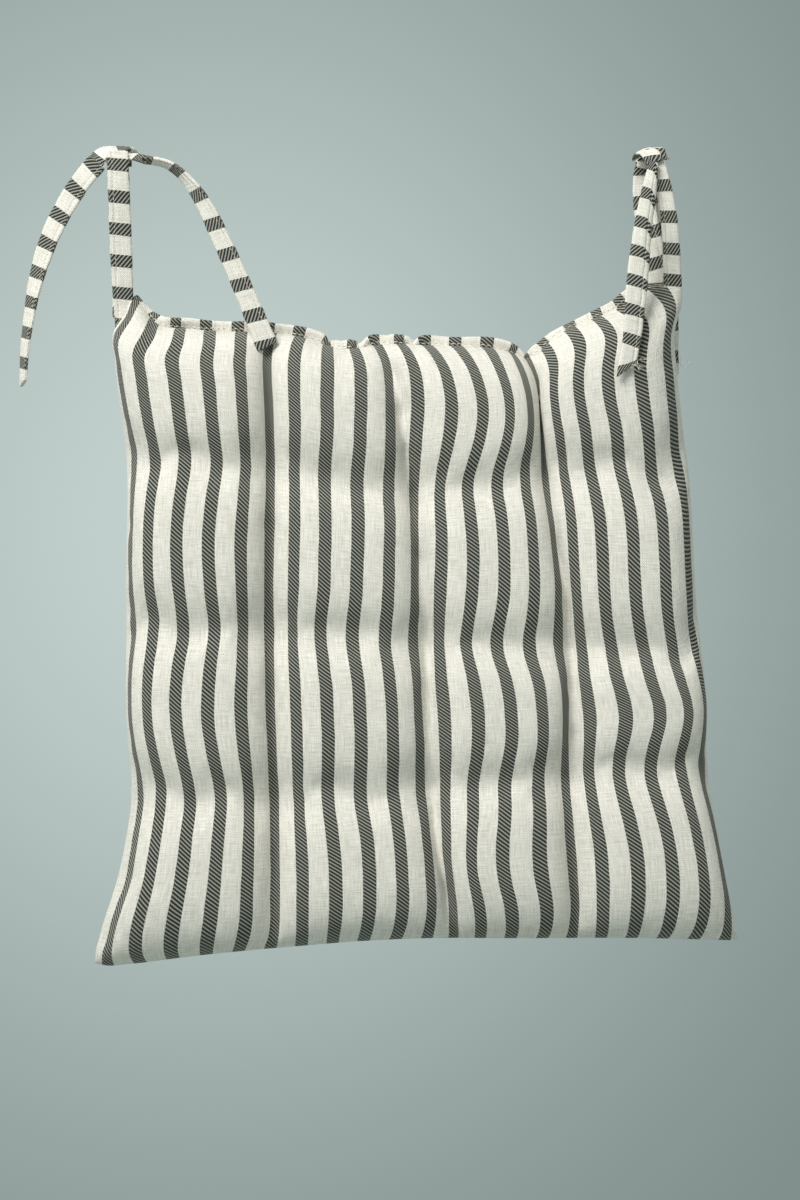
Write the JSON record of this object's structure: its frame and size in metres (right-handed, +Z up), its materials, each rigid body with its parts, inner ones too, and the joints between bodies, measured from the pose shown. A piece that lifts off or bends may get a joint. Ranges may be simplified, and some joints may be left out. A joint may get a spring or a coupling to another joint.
{
  "type": "tufted chair seat pad",
  "caption": "Square tufted seat pad in vertically striped canvas, hanging by two pairs of fabric ties knotted over a rail.",
  "frame": {"origin": "on the axis of the square rail that the ties loop over, between the two loops", "axes": "+Z up as the pad hangs, +X along the rail to the right seen from the front, +Y towards the pad's back"},
  "size_m": [0.42, 0.0581, 0.4738],
  "materials": {
    "striped_canvas": "matt woven canvas, cream plain weave with charcoal twill stripes",
    "striped_tie": "matt woven canvas cut across the stripes, folded and edge-stitched",
    "filling_fibre": "loose white fibre",
    "sewing_thread": "matt spun thread"
  },
  "bodies": {
    "pad": {"front_panel": "striped_canvas", "back_panel": "striped_canvas", "fibre_filling": "filling_fibre", "tuft_thread_upper_left": "sewing_thread", "tuft_thread_upper_centre": "sewing_thread", "tuft_thread_upper_right": "sewing_thread", "tuft_thread_middle_left": "sewing_thread", "tuft_thread_middle_centre": "sewing_thread", "tuft_thread_middle_right": "sewing_thread", "tuft_thread_lower_left": "sewing_thread", "tuft_thread_lower_centre": "sewing_thread", "tuft_thread_lower_right": "sewing_thread", "left_seam_thread": "sewing_thread", "right_seam_thread": "sewing_thread", "bottom_seam_thread": "sewing_thread", "closing_stitch_thread": "sewing_thread", "left_tie_front_strand": "striped_tie", "left_tie_back_strand": "striped_tie", "right_tie_front_strand": "striped_tie", "right_tie_back_strand": "striped_tie", "left_tie_knot": "striped_tie", "right_tie_knot": "striped_tie", "left_tie_tack": "sewing_thread", "right_tie_tack": "sewing_thread"},
    "left_outer_tail": {"left_tie_outer_tail": "striped_tie"},
    "left_inner_tail": {"left_tie_inner_tail": "striped_tie"},
    "right_front_tail": {"right_tie_front_tail": "striped_tie"},
    "right_back_tail": {"right_tie_back_tail": "striped_tie"}
  },
  "joints": [
    {"name": "left_outer_tail_swing", "type": "hinge", "parent": "pad", "child": "left_outer_tail", "pos_m": [-0.182, -0.0156, 0.0125], "axis": [-1, 0, 0], "range_deg": [0, 70]},
    {"name": "left_inner_tail_swing", "type": "hinge", "parent": "pad", "child": "left_inner_tail", "pos_m": [-0.157, -0.0156, 0.0155], "axis": [-1, 0, 0], "range_deg": [0, 70]},
    {"name": "right_front_tail_swing", "type": "hinge", "parent": "pad", "child": "right_front_tail", "pos_m": [0.137, -0.0156, 0.0092], "axis": [-1, 0, 0], "range_deg": [0, 70]},
    {"name": "right_back_tail_swing", "type": "hinge", "parent": "pad", "child": "right_back_tail", "pos_m": [0.142, 0.0156, 0.0095], "axis": [1, 0, 0], "range_deg": [0, 70]}
  ]
}
